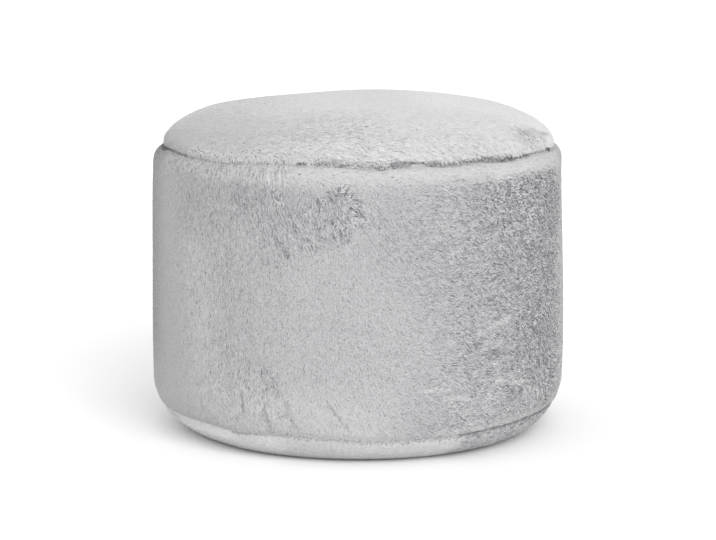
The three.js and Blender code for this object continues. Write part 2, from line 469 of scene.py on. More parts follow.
def mesh_from(name, points, *face_sets):
    """A mesh object at the origin from an array of points and arrays of faces, each array with one number
    of corners. The arrays go straight into the mesh."""
    mesh = bpy.data.meshes.new(name)
    corners = np.concatenate([faces.ravel() for faces in face_sets]).astype(np.int32)
    sizes = np.concatenate([np.full(len(faces), faces.shape[1]) for faces in face_sets])
    starts = np.concatenate([[0], np.cumsum(sizes)[:-1]]).astype(np.int32)
    mesh.vertices.add(len(points))
    mesh.vertices.foreach_set("co", np.ascontiguousarray(points, np.float32).ravel())
    mesh.loops.add(len(corners))
    mesh.loops.foreach_set("vertex_index", corners)
    mesh.polygons.add(len(sizes))
    mesh.polygons.foreach_set("loop_start", starts)
    mesh.polygons.foreach_set("use_smooth", np.ones(len(sizes), bool))
    mesh.update(calc_edges=True)
    mesh.validate()
    return add_object(name, mesh)


def closed_skin(name, grid):
    """A closed mesh from a grid of rings whose first and last rings have shrunk to poles."""
    rings = grid[1:-1]
    poles = grid[0].mean(axis=0), grid[-1].mean(axis=0)
    points = np.vstack([poles[:1], rings.reshape(-1, 3), poles[1:]])
    return mesh_from(name, points, *closed_faces(len(rings), COLUMNS))


bag_grid = ring_grid(bag_rows)
bag = closed_skin("bag", bag_grid)
print("the bag has", len(bag.data.vertices), "vertices")

# %% Filling it
PRESSURE = 4.0
FRAMES = 20
CLOTH_STEPS = 5
BAG_WEIGHT_KG = 0.9
STRETCH_STIFFNESS = 40
SHEAR_STIFFNESS = 12
BEND_STIFFNESS = 4
FLAT_TOLERANCE = 0.0005
TINY = 1e-12  # stands in for a length of 0 where it is divided by


def mesh_points(mesh):
    """The mesh's vertices as an array of xyz."""
    points = np.empty(len(mesh.vertices) * 3, np.float32)
    mesh.vertices.foreach_get("co", points)
    return points.reshape(-1, 3)


def swell(piece, pinned):
    """Runs Blender's cloth on a mesh with the filling's pressure and no gravity, and gives the points
    where it settles, none further than MOVE_CAP from where it was. `pinned` is 1 for a point that stays,
    and 0 for one that is free."""
    start = mesh_points(piece.data)
    group = piece.vertex_groups.new(name="pinned")
    group.add(np.flatnonzero(pinned).tolist(), 1.0, "REPLACE")
    cloth = piece.modifiers.new("filling", "CLOTH")
    cloth.settings.vertex_group_mass = "pinned"
    cloth.settings.quality = CLOTH_STEPS
    cloth.settings.mass = BAG_WEIGHT_KG / len(start)
    cloth.settings.tension_stiffness = STRETCH_STIFFNESS
    cloth.settings.compression_stiffness = STRETCH_STIFFNESS
    cloth.settings.shear_stiffness = SHEAR_STIFFNESS
    cloth.settings.bending_stiffness = BEND_STIFFNESS
    cloth.settings.use_pressure = True
    cloth.settings.uniform_pressure_force = PRESSURE
    cloth.settings.effector_weights.gravity = 0
    cloth.collision_settings.use_collision = False
    cloth.point_cache.frame_start = 1
    cloth.point_cache.frame_end = FRAMES
    for number in range(1, FRAMES + 1):
        bpy.context.scene.frame_set(number)
    move = mesh_points(piece.evaluated_get(bpy.context.evaluated_depsgraph_get()).to_mesh()) - start
    far = np.linalg.norm(move, axis=1, keepdims=True)
    print("the cloth moved up to", round(float(far.max()) / MM, 2), "mm")
    print("by row, in mm:", np.round(far[1:-1, 0].reshape(-1, COLUMNS).mean(axis=1) / MM, 2))
    return start + move * np.minimum(1, MOVE_CAP / np.maximum(far, TINY))


pins = np.zeros((len(bag_rows) - 2, COLUMNS))
pins[BASE_SEAM_ROW - 1] = 1
pins[TOP_SEAM_ROW - 1] = 1
pins[bag_rows[1:-1, 1] < bag_rows[0, 1] + FLAT_TOLERANCE] = 1
filled = swell(bag, np.concatenate([[1], pins.ravel(), [0]]))
bag_grid[1:-1] = filled[1:-1].reshape(-1, COLUMNS, 3)
bag_grid[-1] = filled[-1]
bpy.data.objects.remove(bag)

# %% [markdown]
# ## Fur, as a material
#
# The tones of the tufts could be noise through the whole pouf, but that would run across from one tuft to
# the next. So every tuft uses one small drawing, a sheet of 16 by 16 tufts laid side by side in the
# tuft's own UV map. The sheet runs from the darkest tuft to the lightest, and the square that a tuft is
# given says its tone. Inside a square the drawing goes from the shaded root to the pale tip, with fine
# hairs along it. The painted shade in the gaps between the hairs is strong on a dark tuft, where the pile
# is ruffled, and faint on a light one, where it is smooth.

# %% Helpers for nodes
FIBRE = {"Roughness": 0.9, "Specular IOR Level": 0.15, "Sheen Weight": 0.05, "Sheen Roughness": 0.6}


def add_node(tree, kind, inputs, **settings):
    """A shader node of that kind. Its settings come first, and then its inputs, each by its name or
    number: a plain value is set on the socket, and another node's output is linked to it."""
    node = tree.nodes.new("ShaderNode" + kind)
    for name, value in settings.items():
        setattr(node, name, value)
    for name, value in inputs.items():
        if isinstance(value, bpy.types.NodeSocket):
            tree.links.new(value, node.inputs[name])
        else:
            node.inputs[name].default_value = value
    return node


def worked_out(tree, operation, *values):
    """The result of one step of vector arithmetic."""
    return add_node(tree, "VectorMath", dict(enumerate(values)), operation=operation).outputs["Vector"]


def scaled(tree, vector, factor):
    """A vector, or a colour, times a number."""
    inputs = {"Vector": vector, "Scale": factor}
    return add_node(tree, "VectorMath", inputs, operation="SCALE").outputs["Vector"]


def mapped(tree, value, old=(0, 1), new=(0, 1)):
    """The value carried from its old range to a new one, whose ends may be other nodes' outputs."""
    inputs = {"Value": value, "From Min": old[0], "From Max": old[1], "To Min": new[0], "To Max": new[1]}
    return add_node(tree, "MapRange", inputs).outputs["Result"]


print("a fibre's shader:", FIBRE)

# %% Fur material
SHEET = 16
HAIRS_ACROSS = 4.5
HAIRS_ALONG = 2.2
HAIR_DETAIL = 2.0
HAIR_EDGES = (0.34, 0.58)
FUR_DARK = (0.165, 0.16, 0.174, 1)
FUR_LIGHT = (0.95, 0.95, 0.955, 1)
ROOT_SHADE = 0.88
HAIR_TONES = (0.15, 0.55)
# painted shade in the gaps between the hairs, for a dark and for a light tuft
HAIR_GAP_SHADES = (0.39, 0.68)
HAIR_TIPS = (1.04, 0.87)


def fur_material():
    """Tone from the number of the sheet's square, which is 16 times its row plus its column, times the
    shade from root to tip, times the hairs: noise stretched along the tuft, between the shade of a gap
    and of a hair for that tone."""
    material, shader = new_material("faux_fur_pile", FIBRE)
    tree = material.node_tree
    place = add_node(tree, "UVMap", {}, uv_map="OFBake").outputs["UV"]
    spread = worked_out(tree, "MULTIPLY", place, (SHEET, SHEET, 0))
    square = add_node(tree, "SeparateXYZ", {0: worked_out(tree, "FLOOR", spread)})
    inside = add_node(tree, "SeparateXYZ", {0: worked_out(tree, "FRACTION", spread)})
    steps = {0: square.outputs["Y"], 1: SHEET, 2: square.outputs["X"]}
    number = add_node(tree, "Math", steps, operation="MULTIPLY_ADD").outputs[0]
    tone = mapped(tree, number, old=(0, SHEET * SHEET - 1))
    colour = add_node(tree, "Mix", {"Factor": tone, "A": FUR_DARK, "B": FUR_LIGHT}, data_type="RGBA")
    shade = mapped(tree, inside.outputs["Y"], new=(ROOT_SHADE, 1))
    grid = worked_out(tree, "MULTIPLY", place, (SHEET * HAIRS_ACROSS, SHEET * HAIRS_ALONG, 0))
    hairs = add_node(tree, "TexNoise", {"Vector": grid, "Scale": 1.0, "Detail": HAIR_DETAIL})
    gap_and_hair = [mapped(tree, tone, HAIR_TONES, shades) for shades in (HAIR_GAP_SHADES, HAIR_TIPS)]
    streak = mapped(tree, hairs.outputs["Fac"], HAIR_EDGES, gap_and_hair)
    both = add_node(tree, "Math", {0: shade, 1: streak}, operation="MULTIPLY").outputs[0]
    tree.links.new(scaled(tree, colour.outputs["Result"], both), shader.inputs["Base Color"])
    return material


FUR = fur_material()
print("fur drawn on a sheet of", SHEET * SHEET, "tufts")

# %% [markdown]
# ## Underfur
#
# Under the tufts the bag itself shows here and there, as short woolly underfur. It shows too little to be
# grown as tufts of its own, so it is a soft mottle in the bag's own Object coordinates, with a fine bump,
# and painted shade darkens it down in the crevice of a seam.

# %% Underfur material
WALL_GROUND = (0.46, 0.62)
# painted light: a lighter copy of the wall's underfur, for the top and the base
PAINTED_LIGHT_GROUND = (0.60, 0.78)
COLD = 1.02
# painted shade: how far the underfur's colour is darkened down in a seam's crevice
CREVICE_SHADE = 0.25
MOTTLE_SCALE = 260
MOTTLE_DETAIL = 4
MOTTLE_DEPTH = 0.002
MOTTLE_BUMP = 0.6


def underfur_material(name, tones):
    """A mottled woolly ground between two greys, darkened with painted shade down beside a seam, with a
    fine bump. How near a seam is comes with the mesh, as its attribute named seam."""
    material, shader = new_material(name, FIBRE)
    tree = material.node_tree
    place = add_node(tree, "TexCoord", {}).outputs["Object"]
    inputs = {"Vector": place, "Scale": MOTTLE_SCALE, "Detail": MOTTLE_DETAIL}
    mottle = add_node(tree, "TexNoise", inputs).outputs["Fac"]
    dark, light = ((tone, tone, tone * COLD, 1) for tone in tones)
    colour = add_node(tree, "Mix", {"Factor": mottle, "A": dark, "B": light}, data_type="RGBA")
    bump = add_node(tree, "Bump", {"Strength": MOTTLE_BUMP, "Distance": MOTTLE_DEPTH, "Height": mottle})
    beside = add_node(tree, "Attribute", {}, attribute_name="seam").outputs["Fac"]
    # painted shade in the crevice of a seam
    crevice = mapped(tree, beside, new=(1, CREVICE_SHADE))
    tree.links.new(scaled(tree, colour.outputs["Result"], crevice), shader.inputs["Base Color"])
    tree.links.new(bump.outputs["Normal"], shader.inputs["Normal"])
    return material


wall_ground = underfur_material("faux_fur_wall_ground", WALL_GROUND)
painted_light_ground = underfur_material("faux_fur_light_ground", PAINTED_LIGHT_GROUND)
print("underfur mottle about", round(1 / (MOTTLE_SCALE * MM), 1), "mm across")

# %% [markdown]
# ## The three panels
#
# Cut along its seam rings, the filled bag is three panels. Each is closed with a flat inner face, so that
# it is a solid that could be 3-D printed or weighed on its own, and each stands for the CAD solid of its
# name.

# %% Cut the bag into panels
HALF_GAP = 0.00015
CREVICE_REACH = 0.003


def finish_piece(piece, node, material):
    """The piece gets its material, moves with the pouf, and stands for a CAD node."""
    piece.data.materials.append(material)
    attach(piece, "root")
    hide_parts(node)


def panel_skin(name, grid, flats):
    """A closed panel from its rows of the bag. `flats` are the heights of the inner faces that close it
    below and above, or None where the row of that end is a pole already."""
    below, above = flats
    rows = [grid]
    if below is not None:
        rows.insert(0, np.tile((0.0, 0.0, below), (1, COLUMNS, 1)))
    if above is not None:
        rows.append(np.tile((0.0, 0.0, above), (1, COLUMNS, 1)))
    return closed_skin(name, np.vstack(rows))


def mark_seams(skin, grid, seam_rows):
    """Writes the attribute named seam on a skin: the sum of a bell round each of its seams, by how far a
    point is from the seam's ring up and across. The underfur takes it as how much painted shade falls in
    the crevice there."""
    points = mesh_points(skin.data)
    radius = np.hypot(points[:, 0], points[:, 1])
    near = np.zeros(len(points))
    for row in seam_rows:
        ring = grid[row]
        column = np.degrees(np.arctan2(points[:, 0], -points[:, 1])) % 360 / 360 * COLUMNS
        height = np.interp(column, np.arange(COLUMNS + 1), np.append(ring[:, 2], ring[0, 2]))
        across = radius - np.hypot(ring[:, 0], ring[:, 1]).mean()
        near += bell(np.hypot(points[:, 2] - height, across), CREVICE_REACH)
    layer = skin.data.attributes.new("seam", "FLOAT", "POINT")
    layer.data.foreach_set("value", near.astype(np.float32))


base_grid = bag_grid[: BASE_SEAM_ROW + 1]
side_grid = bag_grid[BASE_SEAM_ROW : TOP_SEAM_ROW + 1]
top_grid = bag_grid[TOP_SEAM_ROW:]
low, high = (float(bag_grid[row, :, 2].mean()) for row in (BASE_SEAM_ROW, TOP_SEAM_ROW))
base_skin = panel_skin("base_skin", base_grid, (None, low - HALF_GAP))
side_skin = panel_skin("side_skin", side_grid, (low + HALF_GAP, high - HALF_GAP))
top_skin = panel_skin("top_skin", top_grid, (high + HALF_GAP, None))
for skin, node, ground, rows in (
    (base_skin, "base_panel", painted_light_ground, (BASE_SEAM_ROW,)),
    (side_skin, "side_panel", wall_ground, (BASE_SEAM_ROW, TOP_SEAM_ROW)),
    (top_skin, "top_panel", painted_light_ground, (TOP_SEAM_ROW,)),
):
    mark_seams(skin, bag_grid, rows)
    finish_piece(skin, node, ground)
    print(skin.name, len(skin.data.polygons), "faces")

# %% [markdown]
# ## Growing the pile
#
# Blender can grow hair on a mesh, but an exported or printed part would lose it, so the tufts are mesh.
# Each panel is thought of as the flat piece that was cut out: a long strip for the wall, and a disc for
# the top and for the base. A tuft has a root on that pattern and leans across it, so combing is just a
# direction on the pattern. A point of the pattern is then looked up on the filled bag, and raised off it
# by the tuft's height there. Near a seam the pattern goes on straight past its edge, so that a tuft hangs
# over the seam.

# %% A panel as a pattern
FOOT_FULLNESS = 3.0  # how much sooner the base's pile is full, out from the flat


class Pattern:
    """A panel's flat pattern and where each of its points lies on the bag. `grid` holds the rows of the
    bag that carry pile, from low to high. A strip's point is (sideways, up) in metres, and a disc's is
    its point on the floor plan, whose distance from the middle is measured along the panel. `hem` is the
    row at which the panel turns in to its lower seam. A tip below it goes on straight, and hangs over the
    seam."""

    def __init__(self, grid, shape, hem=0):
        self.grid = grid
        self.shape = shape
        self.hem = hem
        steps = np.linalg.norm(np.diff(grid, axis=0), axis=2).mean(axis=1)
        self.ways = np.concatenate([[0], np.cumsum(steps)])
        self.length = self.ways[-1]
        across = np.roll(grid, -1, axis=1) - np.roll(grid, 1, axis=1)
        along = np.gradient(grid, axis=0)
        normals = np.cross(across, along)
        sizes = np.linalg.norm(normals, axis=2, keepdims=True)
        self.normals = normals / np.maximum(sizes, TINY)
        if shape == "base":
            self.normals[0] = (0, 0, -1)
        if shape == "top":
            self.normals[-1] = (0, 0, 1)
        self.radius = np.linalg.norm(grid[..., :2], axis=2).mean()

    def place(self, spot):
        """(turn in degrees, way along the panel in metres) of points on the pattern. On a strip the turn
        is sideways over the radius, and on a disc it is the direction from the middle."""
        if self.shape == "strip":
            return np.degrees(spot[:, 0] / self.radius), spot[:, 1]
        turn = np.degrees(np.arctan2(spot[:, 0], -spot[:, 1]))
        out = np.hypot(*spot.T)
        return turn, self.length - out if self.shape == "top" else out

    def to_seam(self, spot):
        """How far each point is from its nearest seam: the way to it along the panel."""
        way = self.place(spot)[1]
        if self.shape == "strip":
            return np.minimum(way, self.length - way)
        return way if self.shape == "top" else self.length - way

    def depth(self, spot):
        """How deep the pile is at each point: thin at the seams, and pressed where the pouf stands on
        it."""
        deep = pile_depth(self.to_seam(spot))
        if self.shape == "base":
            deep = np.minimum(deep, pressed_depth(FOOT_FULLNESS * (self.place(spot)[1] - REST_RADIUS)))
        return deep

    def on_bag(self, spot, first=0):
        """Points on the bag and their outward normals, blended between the four grid points round each.
        Past an end of the panel, or below its row number `first`, they go on straight, in the direction
        the panel has there."""
        turn, way = self.place(spot)
        held = np.clip(way, self.ways[first], self.length)
        row = np.clip(np.searchsorted(self.ways, held, side="right") - 1, 0, len(self.ways) - 2)
        up = ((held - self.ways[row]) / (self.ways[row + 1] - self.ways[row]))[:, None]
        column = turn / 360 * COLUMNS
        left = np.floor(column).astype(int)
        over = (column - left)[:, None]
        left, right = left % COLUMNS, (left + 1) % COLUMNS

        def blend(values):
            low = values[row, left] * (1 - over) + values[row, right] * over
            high = values[row + 1, left] * (1 - over) + values[row + 1, right] * over
            return low * (1 - up) + high * up

        point = blend(self.grid)
        normal = blend(self.normals)
        normal /= np.linalg.norm(normal, axis=1, keepdims=True)
        step = self.grid[row + 1, left] - self.grid[row, left]
        step /= np.linalg.norm(step, axis=1, keepdims=True)
        return point + step * (way - held)[:, None], normal


base_pattern = Pattern(base_grid, "base")
side_pattern = Pattern(side_grid, "strip")
top_pattern = Pattern(top_grid, "top", hem=int(np.argmax(top_rows[:, 0])))
print("the wall's strip is", round(side_pattern.length, 3), "m high")

# %% [markdown]
# ### Where the pile was stroked
#
# Fur keeps the marks of every hand that passed over it. Smoothed pile lies flat and close, and looks
# even. Pile pushed the wrong way stands up, so that dark gaps and light tips show side by side. Such
# strokes could be combed in by hand, but rows of a table can be read and changed. They stand in the order
# in which they were made: each one runs from a place to a place, is felt up to its width to either side,
# and paints its own way of lying over what was there before.
#
# `width` is in millimetres, and `soft` is how much of it the stroke's edge fades over. `comb` is the way
# the tips point, in degrees turning towards the right: from straight down on the wall, from straight to
# the front on the top, and from straight up on the base. `ruffle` is how upset the pile is, `grain` how
# unlike neighbouring tufts are, and `tone` where their squares lie on the sheet, from 0 for the darkest
# to 1 for the lightest. None leaves a thing as it was. Much of the tone is painted light and shade: the
# top and the base are painted lighter than the wall, ruffled pile darker for the shade in its gaps, the
# far left of the wall and the left front of the dome's rim darker, and the wall's lip under the top seam
# lighter. Painted shade also makes dark lines in the seams, under the top's overhang, in creases and
# furrows, under the wall's hem and where the base meets the floor.
#
# The wall has three tables: for the whole of it, for the lip along the top seam and for the hem along the
# base seam, which follow their seams' waves. The top has one for its plan and one along its edge, and the
# base has one along its edge.

# %% Strokes on the wall: start and end are a turn in degrees and a height in mm
STROKE = "start end width soft comb ruffle grain tone"
WALL_LOOK = {"comb": 0, "ruffle": 0.08, "grain": 0.03, "tone": 0.43}
WALL_STROKES = table(
    STROKE,
    # the back, in broad even swathes
    ((180, 400), (180, 0), 250, 0.6, 6, 0.06, 0.035, 0.37),
    ((150, 330), (138, 90), 60, 0.95, 24, 0.12, 0.05, 0.43),
    ((205, 300), (214, 60), 50, 0.95, -14, 0.12, 0.05, 0.33),
    # the left flank, combed down, and smooth at the far left
    ((-42, 320), (-40, 40), 62, 0.9, 2, 0.12, 0.068, 0.40),
    ((-74, 330), (-72, 60), 70, 0.6, 0, 0.02, 0.012, 0.51),
    ((-50, 230), (-47, 60), 34, 0.9, None, None, None, 0.53),
    # painted shade: the far left of the wall, turned from the light, is darker
    ((-104, 370), (-103, 20), 125, 0.6, 0, 0.02, 0.010, 0.26),
    ((-146, 300), (-126, 60), 85, 0.95, -8, 0.05, 0.03, 0.35),
    ((-27, 300), (-22, 255), 24, 0.9, 14, 0.15, 0.10, 0.365),
    ((-32, 322), (-15, 302), 20, 0.9, None, None, None, 0.31),
    ((-22, 317), (-20, 301), 8, 0.8, 10, 0.3, 0.16, 0.32),
    # the calm middle
    ((6, 290), (6, 60), 75, 0.8, 15, 0.2, 0.034, 0.415),
    ((18, 330), (18, 60), 42, 0.95, 74, None, None, None),
    ((12, 275), (20, 225), 38, 0.9, None, None, 0.06, 0.34),
    # the ruffled right, mostly painted darker for the shade between its standing tufts
    ((36, 300), (36, 60), 62, 0.9, 82, 0.4, 0.125, 0.315),
    ((60, 330), (64, 105), 75, 0.7, 70, 0.85, 0.22, 0.245),
    ((100, 330), (104, 60), 92, 0.95, 34, 0.32, 0.09, 0.45),
    ((79, 315), (81, 75), 42, 0.95, None, None, None, 0.42),
    ((130, 320), (124, 40), 85, 0.95, 20, 0.12, 0.045, 0.40),
    ((44, 308), (70, 285), 30, 0.8, 60, 1.0, 0.25, 0.235),
    ((36, 292), (66, 250), 20, 0.9, None, None, None, 0.28),
    ((56, 308), (66, 285), 18, 0.9, None, None, None, 0.22),
    ((22, 60), (58, 52), 34, 0.9, None, None, None, 0.36),
    # lighter towards the floor
    ((-100, 42), (-4, 30), 52, 0.9, None, None, None, 0.525),
    # the lip under the top seam, painted lighter where its shoulder catches the light, laid sideways on the
    # right
    ((-66, 340), (-20, 340), 13, 0.7, 4, 0.15, 0.115, 0.495),
    ((-16, 342), (40, 342), 14, 0.8, 84, 0.04, 0.024, 0.55),
    ((40, 340), (80, 340), 13, 0.6, 84, 0.05, 0.03, 0.58),
    ((80, 340), (124, 338), 9, 0.95, None, None, None, 0.50),
    # the rubbed patch high in the middle, painted darker for the shade in its upset pile
    ((-18.5, 290), (-12, 262), 12, 0.6, 34, 0.15, 0.12, 0.33),
    ((-12, 303), (-8.5, 276), 15, 0.6, 22, 0.25, 0.11, 0.33),
    ((-7, 308), (-4.5, 276), 14, 0.4, 4, 0.3, 0.13, 0.31),
    ((-3.8, 292), (-3.2, 273), 6, 0.4, 8, 0.3, 0.15, 0.30),
    ((-4, 322), (-1.5, 312), 7, 0.4, 130, 0.35, 0.20, 0.35),
    ((-0.4, 305), (0.6, 289), 7.5, 0.4, 75, 0.35, 0.22, 0.28),
    # the edge of the rubbed patch, curling down on its left, with a line of painted shade under the curl
    ((-23.5, 282), (-20.5, 264), 6, 0.9, 24, 0.25, 0.12, 0.31),
    ((-20.2, 264), (-18.4, 246), 2.4, 0.7, 18, 0.3, 0.12, 0.17),
    # a faint crease across the middle, painted as a thin line of shade
    ((-22, 164), (3, 165), 1, 0.6, None, None, None, 0.35),
    # strokes low on the left, drawn down and to the right
    ((-37, 92), (-24, 60), 28, 0.9, 8, 0.25, 0.095, None),
    ((-25, 114), (-22.5, 96), 9, 0.7, 18, 0.3, 0.086, 0.38),
    ((-21.5, 96), (-16.5, 50), 3, 0.9, 24, 0.2, 0.067, 0.38),
    ((-32, 84), (-31.5, 62), 2, 0.6, 2, 0.2, 0.058, 0.28),
    ((-25.5, 70), (-24, 46), 2, 0.6, 10, 0.2, 0.058, 0.31),
    ((-7.8, 79), (-3, 53), 1.8, 0.6, 28, 0.2, 0.058, 0.34),
    # painted light on pale ridges and painted shade in dark furrows on the right
    ((33, 150), (44, 166), 3, 0.6, 70, 0.2, 0.06, 0.46),
    ((32, 138), (34, 146), 2.5, 0.6, 70, 0.5, 0.096, 0.13),
    ((35, 140), (41, 135), 2.5, 0.6, 95, 0.3, 0.06, 0.44),
    ((36, 127), (43, 123), 3, 0.7, 80, 0.6, 0.096, 0.21),
    ((16, 91), (24, 90), 2.5, 0.6, 88, 0.2, 0.05, 0.47),
    ((23, 80), (30, 77), 3, 0.6, 100, 0.3, 0.06, 0.46),
    ((40, 92), (50, 82), 3, 0.6, 100, 0.4, 0.10, 0.46),
    ((42, 82), (50, 73), 4, 0.8, None, None, None, 0.25),
    ((64, 150), (58, 64), 16, 0.8, 12, 0.35, 0.17, None),
)
print(len(WALL_STROKES), "strokes on the wall")

# %% Strokes along its seams: start and end are a turn in degrees and a distance from the seam in mm
LIP_STROKES = table(
    STROKE,
    # painted shade: a dark line in the seam on the left, and a dark speckled band under the top's overhang
    # on the right
    ((-92, 2), (-76, 2), 3.5, 0.4, None, None, None, 0.05),
    ((-12, 2), (0, 2), 3, 0.4, 84, 0.5, 0.14, 0.42),
    ((1, 2), (10, 2), 3.5, 0.3, 84, 0.6, 0.16, 0.42),
    ((5, 5), (7, 5), 1.5, 0.4, 84, 0.6, 0.10, 0.08),
    ((10, 1.5), (14, 1.5), 3, 0.3, 84, 0.6, 0.16, 0.30),
    ((18, 2), (25, 2), 3.5, 0.3, 84, 0.6, 0.18, 0.38),
    ((19.5, 4), (21.5, 4), 2, 0.4, 84, 0.6, 0.10, 0.08),
    ((25, 1.5), (32, 1.5), 2.5, 0.3, 84, 0.6, 0.18, 0.38),
    ((32, 0.5), (37, 0.5), 1.5, 0.3, 84, 0.6, 0.16, 0.28),
    ((37, 1.5), (50, 1.5), 3.5, 0.3, 84, 0.6, 0.16, 0.20),
    ((50, 0), (60, 0), 1.5, 0.4, 84, 0.5, 0.14, 0.20),
)
HEM_STROKES = table(
    STROKE,
    ((-100, 3), (-38, 3), 8, 0.6, 0, 0.02, 0.02, 0.52),
    ((22, 3), (100, 3), 6, 0.5, 84, 0.15, 0.07, 0.44),
)
print(len(LIP_STROKES), "strokes on the lip and", len(HEM_STROKES), "on the hem")

# %% Strokes on the top: start and end are x and y in mm, or for its edge a turn and a distance from it
# painted light: the top's tone is lighter than the wall's, though it is the same fur
TOP_LOOK = {"comb": 62, "ruffle": 0.0, "grain": 0.008, "tone": 0.825}
TOP_STROKES = table(
    STROKE,
    ((-170, 150), (-170, -60), 90, 0.9, 66, 0.04, 0.09, 0.70),
    ((150, 130), (170, -60), 90, 0.9, 70, 0.0, 0.008, 0.89),
    ((-120, -185), (120, -190), 60, 0.9, 84, 0.12, 0.11, 0.67),
    ((10, -190), (120, -190), 55, 0.9, None, None, 0.17, None),
    ((-200, -75), (-150, -160), 45, 0.8, 72, 0.06, 0.04, 0.63),
    ((60, -170), (160, -130), 55, 0.9, 84, 0.1, 0.06, 0.80),
    ((-95, -62), (-40, -84), 3, 0.9, 95, None, 0.03, 0.78),
    # painted shade on the right of the dome's rim
    ((196, -118), (216, -80), 15, 0.95, 70, 0.4, 0.15, 0.65),
    ((186, -101), (202, -109), 1.8, 0.8, 62, 0.4, 0.15, 0.30),
    ((220, -62), (231, -36), 3.0, 0.8, 62, 0.4, 0.15, 0.36),
)
TOP_EDGE_STROKES = table(
    STROKE,
    # painted shade: the left front of the rim darker, a dark line in the seam on its left, and a dark band
    # under the overhang on the right
    ((-90, 0), (0, 0), 14, 0.9, None, None, None, 0.68),
    ((-56, 0), (-38, 0), 9, 0.5, -45, None, 0.05, None),
    ((-36, 0), (-13, 0), 9, 0.5, -20, None, 0.05, None),
    ((-84, 0), (-68, 0), 2.5, 0.4, 80, 0.3, 0.05, 0.05),
    ((-68, 0), (-45, 0), 1.5, 0.5, 80, 0.2, 0.05, 0.33),
    ((-12, 3), (2, 3), 3.5, 0.4, 80, 0.5, 0.16, 0.51),
    ((2, 3), (10, 3), 5.5, 0.3, 80, 0.6, 0.18, 0.49),
    ((9, 2.5), (14, 2), 4.0, 0.3, 80, 0.6, 0.18, 0.28),
    ((14, 2), (19, 2), 2.5, 0.3, 80, 0.6, 0.18, 0.28),
    ((19, 2), (32, 2), 4.0, 0.3, 80, 0.6, 0.20, 0.40),
    ((32, 2), (36, 2), 3.5, 0.3, 80, 0.6, 0.18, 0.34),
    ((37, 2.5), (49, 2.5), 4.5, 0.3, 80, 0.6, 0.18, 0.18),
    ((48, 1), (82, 1), 3.0, 0.4, 80, 0.5, 0.16, 0.10),
)
print(len(TOP_STROKES), "strokes on the top and", len(TOP_EDGE_STROKES), "along its edge")

# %% Strokes on the base: start and end are a turn in degrees and a distance from the seam in mm
# painted light: the base's tone is lighter than the wall's, though it is the same fur
BASE_LOOK = {"comb": 180, "ruffle": 0.0, "grain": 0.01, "tone": 0.72}
BASE_STROKES = table(
    STROKE,
    ((44, 30), (100, 30), 75, 0.6, 250, 0.2, 0.13, 0.36),
    ((-100, 1), (-42, 1), 14, 0.8, 0, None, None, 0.76),
    # painted shadow where the base meets the floor on the right
    ((34, 62), (85, 62), 9, 0.4, None, None, None, 0.0),
    ((-62, 16), (-26, 16), 15, 0.9, None, None, None, 0.87),
    ((-15, 16), (26, 16), 14, 0.9, None, None, 0.035, 0.67),
    # a dark line along the seam, darkest on the right, painted as the shadow of the wall's hem
    ((-38, 1), (-28, 1), 1.5, 0.5, 180, 0.1, 0.08, 0.45),
    ((-28, 0), (32, 0), 3.0, 0.6, 225, 0.1, 0.05, 0.50),
    ((30, 1), (95, 1), 2.0, 0.4, 270, 0.1, 0.06, 0.08),
)
print(len(BASE_STROKES), "strokes on the base")

# %% What strokes do to tufts, by how far these are from them
MM_PER_DEGREE = WIDEST_RADIUS / MM * np.radians(1)


def painted(look, strokes, near):
    """The look of many tufts after every stroke: comb, ruffle, grain and tone, each one value or an
    array. A stroke takes each of them towards its own, by its full share inside its width and by less and
    less across its soft edge. near(stroke) is how far each tuft is from it, in millimetres."""
    look = dict(look)
    for stroke in strokes:
        fade = stroke["width"] * stroke["soft"]
        share = 1 - ramp(near(stroke), stroke["width"] - fade, stroke["width"] + fade)
        for name in look:
            if stroke[name] is not None:
                look[name] = look[name] + share * (stroke[name] - look[name])
    return look


def segment_distance(points, first, second):
    """How far points of the plane are from the line between two others. The nearest place on the line is
    at the share of the way that the dot product with it gives, kept between 0 and 1."""
    along = second - first
    size = max(float(along @ along), TINY)
    share = np.clip((points - first) @ along / size, 0, 1)
    return np.linalg.norm(points - first - share[:, None] * along, axis=1)


def plan_distance(spots):
    """near() for strokes given by their x and y on the top."""
    return lambda stroke: segment_distance(spots / MM, np.array(stroke["start"]), np.array(stroke["end"]))


def round_distance(turn, up):
    """near() for strokes given by a turn, and by a height or a distance from the seam in millimetres."""

    def near(stroke):
        middle = (stroke["start"][0] + stroke["end"][0]) / 2
        sideways = ((turn - middle + 180) % 360 - 180) * MM_PER_DEGREE
        ends = np.array([stroke["start"], stroke["end"]]) - (middle, 0)
        return segment_distance(np.column_stack([sideways, up / MM]), *(ends * (MM_PER_DEGREE, 1)))

    return near


print("a degree of turn is", round(MM_PER_DEGREE, 2), "mm on the wall")

# %% [markdown]
# ### Tufts
#
# A fur tuft is a few dozen hairs that lie together. A closed needle of four triangles is the least mesh
# that has its volume, and 230,000 of them cover the pouf. Real pile is never even: tufts that were upset
# together stray and stand together, which drifting noise gives, and hairs that lie in line share a tone,
# which noise drawn out along the hairs gives. A needle lit by its own flat sides would glitter, so each
# takes most of its shading from the cloth that it lies on.

# %% Noise that drifts
LATTICE = 64
LATTICE_SPREAD = 1.6
LOCK_REACH = 0.4
LOCK_STEPS = 6


